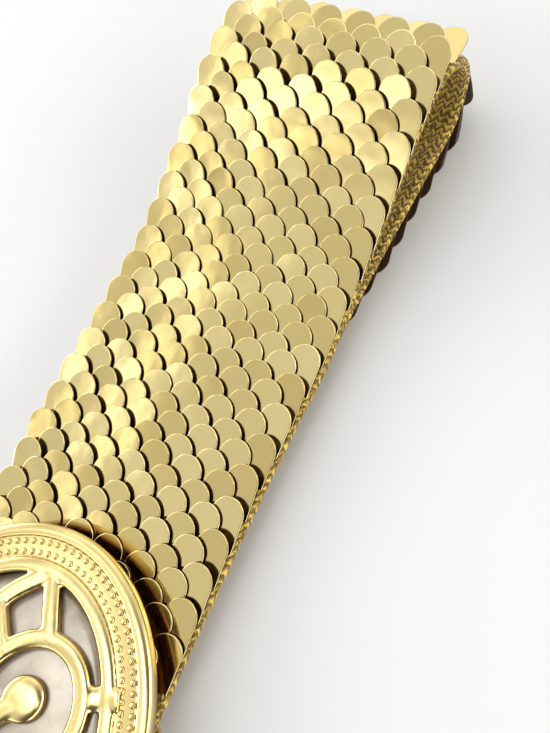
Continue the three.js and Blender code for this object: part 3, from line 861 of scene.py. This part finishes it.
# %% Inlay
INLAY_SHARE = 0.985
INLAY_THICK = 1.2
SEAM = 0.3
inlay_rings, inlay_sides = 16, 96
inlay_points = []
for extra in (0.0, INLAY_THICK):
    inlay_points.append((0, 0, dome(0, 0) - FIELD_THICK - SEAM - extra))
    for r in range(1, inlay_rings + 1):
        share = INLAY_SHARE * r / inlay_rings
        for side in range(inlay_sides):
            turn = 2 * math.pi * side / inlay_sides
            x, y = FIELD_LONG * share * math.cos(turn), FIELD_SHORT * share * math.sin(turn)
            inlay_points.append((x, y, dome(x, y) - FIELD_THICK - SEAM - extra))
half_inlay = 1 + inlay_rings * inlay_sides
inlay_faces = cap_faces(0, inlay_rings, inlay_sides)
inlay_faces += [face[::-1] for face in cap_faces(half_inlay, inlay_rings, inlay_sides)]
outer = 1 + (inlay_rings - 1) * inlay_sides
for side in range(inlay_sides):
    after = (side + 1) % inlay_sides
    inlay_faces.append([outer + side, half_inlay + outer + side, half_inlay + outer + after, outer + after])
inlay = mesh_piece("pearl_inlay", np.array(inlay_points), inlay_faces)
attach(inlay, "root")
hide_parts("buckle_inlay")
print("inlay faces", len(inlay_faces))

# %% [markdown]
# ## Materials
# Each material starts from what the real one is. Every pattern is sized in real millimetres, from the place on
# the object, on the plate or along the yarn. One small function adds any node, with its settings and its links.

# %% Material helpers
def linear(hex_colour):
    """An sRGB hex colour as linear values, with alpha."""
    parts = [int(hex_colour[i : i + 2], 16) / 255 for i in (1, 3, 5)]
    return [c / 12.92 if c <= 0.04045 else ((c + 0.055) / 1.055) ** 2.4 for c in parts] + [1.0]


def add(tree, kind, settings=None, links=None):
    """Adds a node, with settings by attribute name and inputs by socket name, linked where one is a socket."""
    node = tree.nodes.new(kind)
    for name, value in (settings or {}).items():
        setattr(node, name, value)
    for name, value in (links or {}).items():
        if isinstance(value, bpy.types.NodeSocket):
            tree.links.new(value, node.inputs[name])
        else:
            node.inputs[name].default_value = value
    return node


def new_material(name):
    """An empty node material and its tree."""
    material = bpy.data.materials.new(name)
    material.use_nodes = True
    material.node_tree.nodes.clear()
    return material, material.node_tree


COLOURS = {"data_type": "RGBA"}
SHARE, FIRST, SECOND, MIXED = 0, 6, 7, 2  # a colour mix's sockets, by number because their names repeat
SMOOTH = {"interpolation_type": "SMOOTHSTEP"}
print("helpers for materials defined")

# %% [markdown]
# **Scales: gold-plated brass sheet, rolled, stamped and bright-plated.** Rolling leaves faint lines along the sheet,
# which stretch reflections a little. Real ones are too fine to show, so they are drawn a sixth of a millimetre
# wide. Stamping leaves each face very slightly dished, so its tone drifts from side to side. Plates come from many
# strikes, so the plating's tone differs a little from one to the next, and handling clouds it in soft patches,
# which blurs a reflection here and there.

# %% Scale metal
CLOUD_WIDE = 4.545
DISH_WIDE = 6.25
LINE_LONG, LINE_WIDE = 4.0, 1 / 6
scale_metal, tree = new_material("gold_plated_sheet")
tint = add(tree, "ShaderNodeAttribute", {"attribute_name": "tint"})
tones = {SHARE: tint.outputs["Fac"], FIRST: linear("#CFB978"), SECOND: linear("#E6D397")}
tone = add(tree, "ShaderNodeMix", COLOURS, tones)
on_plate = add(tree, "ShaderNodeAttribute", {"attribute_name": "place"}).outputs["Vector"]
cloud = add(tree, "ShaderNodeTexNoise", None, {"Vector": on_plate, "Scale": 1 / CLOUD_WIDE, "Detail": 3.0})
clouding = {"Value": cloud.outputs["Fac"], "From Min": 0.3, "From Max": 0.7, "To Min": 0.09, "To Max": 0.15}
rough = add(tree, "ShaderNodeMapRange", None, clouding)
dish = add(tree, "ShaderNodeTexNoise", None, {"Vector": on_plate, "Scale": 1 / DISH_WIDE, "Detail": 1.0})
dished = add(tree, "ShaderNodeBump", None, {"Strength": 0.4, "Distance": 0.2 * MM, "Height": dish.outputs["Fac"]})
stretch = add(tree, "ShaderNodeMapping", None, {"Vector": on_plate, "Scale": (1 / LINE_LONG, 1 / LINE_WIDE, 1.0)})
lines = add(tree, "ShaderNodeTexNoise", None, {"Vector": stretch.outputs[0], "Scale": 1.0, "Detail": 2.0})
rolling = {"Strength": 0.12, "Distance": 0.03 * MM, "Height": lines.outputs["Fac"], "Normal": dished.outputs[0]}
rolled = add(tree, "ShaderNodeBump", None, rolling)
finish = {
    "Base Color": tone.outputs[MIXED],
    "Metallic": 1.0,
    "Roughness": rough.outputs[0],
    "Normal": rolled.outputs[0],
}
shader = add(tree, "ShaderNodeBsdfPrincipled", None, finish)
add(tree, "ShaderNodeOutputMaterial", None, {"Surface": shader.outputs[0]})
print("scale metal nodes", len(tree.nodes))

# %% [markdown]
# ** Backs and sheared edges of the scales: painted shade.** Only the face is bright-plated. The back and the cut edge
# are given a near-black brown as painted shade, which draws the fine dark line beside each head and makes the
# plates beyond the fold dark.

# %% Scale backs
BACK_MOTTLE_WIDE = 2.5
back_shade, tree = new_material("painted_shade_back")
position = add(tree, "ShaderNodeTexCoord").outputs["Object"]
back_mottle = add(tree, "ShaderNodeTexNoise", None, {"Vector": position, "Scale": 1 / (BACK_MOTTLE_WIDE * MM), "Detail": 2.0})
# painted shade: backs and cut edges are mixed between two near-black browns
tones = {SHARE: back_mottle.outputs["Fac"], FIRST: linear("#1E0F05"), SECOND: linear("#3C1F09")}
tone = add(tree, "ShaderNodeMix", COLOURS, tones)
finish = {"Base Color": tone.outputs[MIXED], "Metallic": 0.2, "Roughness": 0.45}
shader = add(tree, "ShaderNodeBsdfPrincipled", None, finish)
add(tree, "ShaderNodeOutputMaterial", None, {"Surface": shader.outputs[0]})
for piece in scale_pieces.values():
    indices = np.empty(len(piece.data.polygons), dtype=np.int32)
    piece.data.polygons.foreach_get("material_index", indices)
    piece.data.materials.append(scale_metal)
    piece.data.materials.append(back_shade)
    piece.data.polygons.foreach_set("material_index", indices)
    piece.data.update()
print("two materials on", len(scale_pieces), "pieces of scales")

# %% [markdown]
# ** Buckle: zinc casting, tumbled and gold-plated.** Tumbling rounds every edge and leaves a mirror with a very slight
# waviness. In the sunk places the colour is darkened to brown as painted shade, so bars and beads stand out from
# dark feet.

# %% Cast gold
WAVE_WIDE = 3.846
cast_gold, tree = new_material("cast_gold_plating")
position = add(tree, "ShaderNodeTexCoord").outputs["Object"]
waves = add(tree, "ShaderNodeTexNoise", None, {"Vector": position, "Scale": 1 / (WAVE_WIDE * MM), "Detail": 2.0})
wavy = add(tree, "ShaderNodeBump", None, {"Strength": 0.25, "Distance": 0.2 * MM, "Height": waves.outputs["Fac"]})
painted_shade = add(tree, "ShaderNodeAttribute", {"attribute_name": "painted_shade"})
# painted shade: the sunk places are mixed toward dark brown
tones = {SHARE: painted_shade.outputs["Fac"], FIRST: linear("#EED692"), SECOND: linear("#6E430C")}
tone = add(tree, "ShaderNodeMix", COLOURS, tones)
finish = {"Base Color": tone.outputs[MIXED], "Metallic": 1.0, "Roughness": 0.2, "Normal": wavy.outputs[0]}
shader = add(tree, "ShaderNodeBsdfPrincipled", None, finish)
add(tree, "ShaderNodeOutputMaterial", None, {"Surface": shader.outputs[0]})
for piece in (rim, beads, openwork):
    piece.data.materials.append(cast_gold)
print("cast gold nodes", len(tree.nodes))

# %% [markdown]
# **Inlay: pearl-pigmented resin, cast and glazed.** Mica flakes lie in drifts, so paler and darker grey-beige clouds
# show under a clear glossy surface, which adds its own sharper reflection.

# %% Pearl resin
DRIFT_WIDE = 6.667
pearl_resin, tree = new_material("pearl_resin")
position = add(tree, "ShaderNodeTexCoord").outputs["Object"]
drifting = {"Vector": position, "Scale": 1 / (DRIFT_WIDE * MM), "Detail": 4.0, "Distortion": 1.2}
drift = add(tree, "ShaderNodeTexNoise", None, drifting)
tones = {SHARE: drift.outputs["Fac"], FIRST: linear("#877A63"), SECOND: linear("#EBE0CB")}
tone = add(tree, "ShaderNodeMix", COLOURS, tones)
finish = {
    "Base Color": tone.outputs[MIXED],
    "Metallic": 0.3,
    "Roughness": 0.3,
    "Coat Weight": 1.0,
    "Coat Roughness": 0.12,
}
shader = add(tree, "ShaderNodeBsdfPrincipled", None, finish)
add(tree, "ShaderNodeOutputMaterial", None, {"Surface": shader.outputs[0]})
inlay.data.materials.append(pearl_resin)
print("pearl nodes", len(tree.nodes))

# %% [markdown]
# ** Elastic: knitted polyester over rubber with a flat gold thread.** The knit shows as rows of zigzag ribs, where
# the yarn goes one way and then the other. Ribs are bright with that thread. The gaps between them and mottled pits,
# where the thread dives under, are darkened to brown, partly the brown yarn and partly painted shade in the knit's
# hollows. The yarn is fuzzy, so it takes a little sheen.

# %% Yarn
RIB_WIDE = 1.1
RIB_LEAN = 1.5
RIB_WANDER = 4.0
PIT_WIDE = 1.4286
yarn, tree = new_material("gold_thread_knit")
in_knit = add(tree, "ShaderNodeAttribute", {"attribute_name": "stitches"}).outputs["Vector"]
along = add(tree, "ShaderNodeSeparateXYZ", None, {0: in_knit})
mottle = add(tree, "ShaderNodeTexNoise", None, {"Vector": in_knit, "Scale": 1 / PIT_WIDE, "Detail": 4.0})
zigzag = add(tree, "ShaderNodeMath", {"operation": "PINGPONG"}, {0: along.outputs["Y"], 1: RIB_WIDE})
slope = {0: zigzag.outputs[0], 1: RIB_LEAN, 2: along.outputs["X"]}
leaning = add(tree, "ShaderNodeMath", {"operation": "MULTIPLY_ADD"}, slope)
wander = {0: mottle.outputs["Fac"], 1: RIB_WANDER, 2: leaning.outputs[0]}
run = add(tree, "ShaderNodeMath", {"operation": "MULTIPLY_ADD"}, wander)
turn = add(tree, "ShaderNodeMath", {"operation": "MULTIPLY"}, {0: run.outputs[0], 1: 2 * math.pi / STITCH_LONG})
wave = add(tree, "ShaderNodeMath", {"operation": "SINE"}, {0: turn.outputs[0]})
rib = add(tree, "ShaderNodeMapRange", SMOOTH, {"Value": wave.outputs[0], "From Min": -1.1, "From Max": 0.9})
pitting = {"Value": mottle.outputs["Fac"], "From Min": 0.36, "From Max": 0.56, "To Min": 0.25}
pits = add(tree, "ShaderNodeMapRange", None, pitting)
raised = add(tree, "ShaderNodeMath", {"operation": "MULTIPLY"}, {0: rib.outputs[0], 1: pits.outputs[0]})
knitted = add(tree, "ShaderNodeBump", None, {"Strength": 1.0, "Distance": 0.5 * MM, "Height": raised.outputs[0]})
# partly painted shade: the lower the knit's relief, the browner the colour
tones = {SHARE: raised.outputs[0], FIRST: linear("#694F10"), SECOND: linear("#F0CA54")}
tone = add(tree, "ShaderNodeMix", COLOURS, tones)
finish = {
    "Base Color": tone.outputs[MIXED],
    "Metallic": 0.3,
    "Roughness": 0.6,
    "Sheen Weight": 0.2,
    "Normal": knitted.outputs[0],
}
shader = add(tree, "ShaderNodeBsdfPrincipled", None, finish)
add(tree, "ShaderNodeOutputMaterial", None, {"Surface": shader.outputs[0]})
elastic.data.materials.append(yarn)
print("yarn nodes", len(tree.nodes))

# %% [markdown]
# **Clasp, clamps and back shell: brass strip, folded and plated.** Hidden under the buckle, plainly finished. The
# plating is satin and a little uneven where hands and webbing rub it.

# %% Clasp metal
WEAR_WIDE = 5.556
clasp_metal, tree = new_material("plated_strip")
position = add(tree, "ShaderNodeTexCoord").outputs["Object"]
wear = add(tree, "ShaderNodeTexNoise", None, {"Vector": position, "Scale": 1 / (WEAR_WIDE * MM), "Detail": 3.0})
rubbing = {"Value": wear.outputs["Fac"], "From Min": 0.3, "From Max": 0.7, "To Min": 0.28, "To Max": 0.4}
satin = add(tree, "ShaderNodeMapRange", None, rubbing)
finish = {"Base Color": linear("#E2C983"), "Metallic": 1.0, "Roughness": satin.outputs[0]}
shader = add(tree, "ShaderNodeBsdfPrincipled", None, finish)
add(tree, "ShaderNodeOutputMaterial", None, {"Surface": shader.outputs[0]})
for node in ("end_clamp_right", "end_clamp_left", "clasp_plate", "clasp_hook", "clasp_bar", "buckle_back"):
    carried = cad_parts[node]
    if not carried.material_slots:
        carried.data.materials.append(None)
    for slot in carried.material_slots:
        slot.link = "OBJECT"
        slot.material = clasp_metal
    print(node, "is plated strip")

# %% [markdown]
# ## Surface and light
# The belt lies on a plain white surface in a bright white room. Polished metal shows the room more than the lamp, so
# most of the light is in the room's walls. The patches of brightness below stand for a window to the far side, a
# ceiling lamp, a bright wall behind the buckle, a tube over the belt, and paler walls past the bend and low on the
# near side. Higher up the near side is dark, which gives the warm dark tones in the metal. One lamp stands at the
# window and casts the dark crescents beside the heads and the belt's soft shadow.

# %% Surface
FLOOR_HALF = 3.0
corners = [(-1, -1), (1, -1), (1, 1), (-1, 1)]
floor_mesh = bpy.data.meshes.new("surface")
floor_mesh.from_pydata([(x * FLOOR_HALF, y * FLOOR_HALF, 0) for x, y in corners], [], [(0, 1, 2, 3)])
floor = bpy.data.objects.new("surface", floor_mesh)
bpy.context.scene.collection.objects.link(floor)
white_card, tree = new_material("white_card")
shader = add(tree, "ShaderNodeBsdfPrincipled", None, {"Base Color": linear("#E4E4E3"), "Roughness": 0.8})
add(tree, "ShaderNodeOutputMaterial", None, {"Surface": shader.outputs[0]})
floor_mesh.materials.append(white_card)
print("surface", 2 * FLOOR_HALF, "m wide")

# %% [markdown]
# The walls brighten evenly from the floor up. Each patch of light is a product of even rises: along a direction,
# from the value where it is dark to the value where it is full. Slant is a direction turned a little from X, square
# to the plates that stand off at the bend.

# %% Brightness of the room
WALL_LOW = (0.03, 0.028, 0.025, 1)
WALL_HIGH = (0.87, 0.87, 0.87, 1)
WALL_HIGH_AT = 0.72
SLANT = 0.333
LIGHT_PATCHES = {
    "window": (3.3, [("Y", 0.74, 0.91)]),
    "ceiling": (2.0, [("Z", 0.95, 0.99)]),
    "wall behind": (1.8, [("slant", -0.74, -0.85), ("Z", 0.3, 0.5)]),
    "tube": (2.0, [("Y", 0.508, 0.518), ("Y", 0.545, 0.535), ("Z", 0.5, 0.6)]),
    "near wall, low": (3.6, [("Y", -0.5, -0.7), ("Z", 0.55, 0.4)]),
    "wall ahead": (0.85, [("X", 0.4, 0.8)]),
    "lamp over the belt": (1.7, [("X", -0.08, 0.02), ("X", 0.22, 0.12), ("Z", 0.8, 0.86)]),
}
NEAR_WALL = 0.12  # what is left of the walls' brightness toward the near side
NEAR_WALL_FROM, NEAR_WALL_TO = -0.2, 0.27
print("patches of light", len(LIGHT_PATCHES))

# %% Room
world = bpy.data.worlds.new("room")
bpy.context.scene.world = world
world.use_nodes = True
tree = world.node_tree
tree.nodes.clear()
split = add(tree, "ShaderNodeSeparateXYZ", None, {0: add(tree, "ShaderNodeTexCoord").outputs["Generated"]})
toward = {axis: split.outputs[axis] for axis in "XYZ"}
turned = add(tree, "ShaderNodeMath", {"operation": "MULTIPLY"}, {0: toward["Y"], 1: SLANT})
slanted = add(tree, "ShaderNodeMath", {"operation": "SUBTRACT"}, {0: toward["X"], 1: turned.outputs[0]})
toward["slant"] = slanted.outputs[0]
walls = add(tree, "ShaderNodeValToRGB", None, {0: toward["Z"]})
low_wall, high_wall = walls.color_ramp.elements
low_wall.position, low_wall.color = 0.0, WALL_LOW
high_wall.position, high_wall.color = WALL_HIGH_AT, WALL_HIGH

lights = 0.0
for amount, rises in LIGHT_PATCHES.values():
    patch = amount
    for axis, dark_at, full_at in rises:
        rising = {"Value": toward[axis], "From Min": dark_at, "From Max": full_at}
        rise = add(tree, "ShaderNodeMapRange", SMOOTH, rising)
        patch = add(tree, "ShaderNodeMath", {"operation": "MULTIPLY"}, {0: rise.outputs[0], 1: patch}).outputs[0]
    lights = add(tree, "ShaderNodeMath", {"operation": "ADD"}, {0: patch, 1: lights}).outputs[0]
darkening = {"Value": toward["Y"], "From Min": NEAR_WALL_FROM, "From Max": NEAR_WALL_TO, "To Min": NEAR_WALL}
kept = add(tree, "ShaderNodeMapRange", SMOOTH, darkening)
dimming = {SHARE: 1.0, FIRST: walls.outputs[0], SECOND: kept.outputs[0]}
dimmed = add(tree, "ShaderNodeMix", {**COLOURS, "blend_type": "MULTIPLY"}, dimming)
lighting = {SHARE: 1.0, FIRST: dimmed.outputs[MIXED], SECOND: lights}
lit = add(tree, "ShaderNodeMix", {**COLOURS, "blend_type": "ADD"}, lighting)
seen = add(tree, "ShaderNodeLightPath")
views = {SHARE: seen.outputs["Is Camera Ray"], FIRST: lit.outputs[MIXED], SECOND: linear("#F3F3F2")}
backdrop = add(tree, "ShaderNodeMix", COLOURS, views)
air = add(tree, "ShaderNodeBackground", None, {"Color": backdrop.outputs[MIXED], "Strength": 1.0})
add(tree, "ShaderNodeOutputWorld", None, {"Surface": air.outputs[0]})
print("room:", ", ".join(LIGHT_PATCHES))

# %% Lamp at the window
LAMP_AT = np.array([-560.0, 900.0, 430.0]) * MM
LAMP_TARGET = np.array([90.0, 0.0, 10.0]) * MM
key_light = bpy.data.lights.new("key_window", "AREA")
key_light.shape = "RECTANGLE"
key_light.size, key_light.size_y = 0.5, 0.4
key_light.energy = 2.5
key_lamp = bpy.data.objects.new("key_window", key_light)
bpy.context.scene.collection.objects.link(key_lamp)
lamp_back = LAMP_AT - LAMP_TARGET
lamp_back /= np.linalg.norm(lamp_back)
lamp_side = np.cross([1.0, 0.0, 0.0], lamp_back)
lamp_side /= np.linalg.norm(lamp_side)
lamp_up = np.cross(lamp_back, lamp_side)
lamp_pose = Matrix.Identity(4)
for column, direction in enumerate((lamp_side, lamp_up, lamp_back, LAMP_AT)):
    for row in range(3):
        lamp_pose[row][column] = direction[row]
key_lamp.matrix_world = lamp_pose
print("lamp", key_light.energy, "W at", LAMP_AT)

# %% View
scene = bpy.context.scene
scene.view_settings.view_transform = "Standard"
scene.view_settings.exposure = 0.0
print("view", scene.view_settings.view_transform)

# %% [markdown]
# ## Cloth and size
# The elastic's cut size is the band's width by its whole length between the clamps, before it was closed into the
# loop. It lies folded on the lower plates. The plates themselves are stiff metal and no cloth.

print("cut of the elastic in mm", BAND_WIDTH, "by", round(LOOP - 2 * BAND_END, 1))
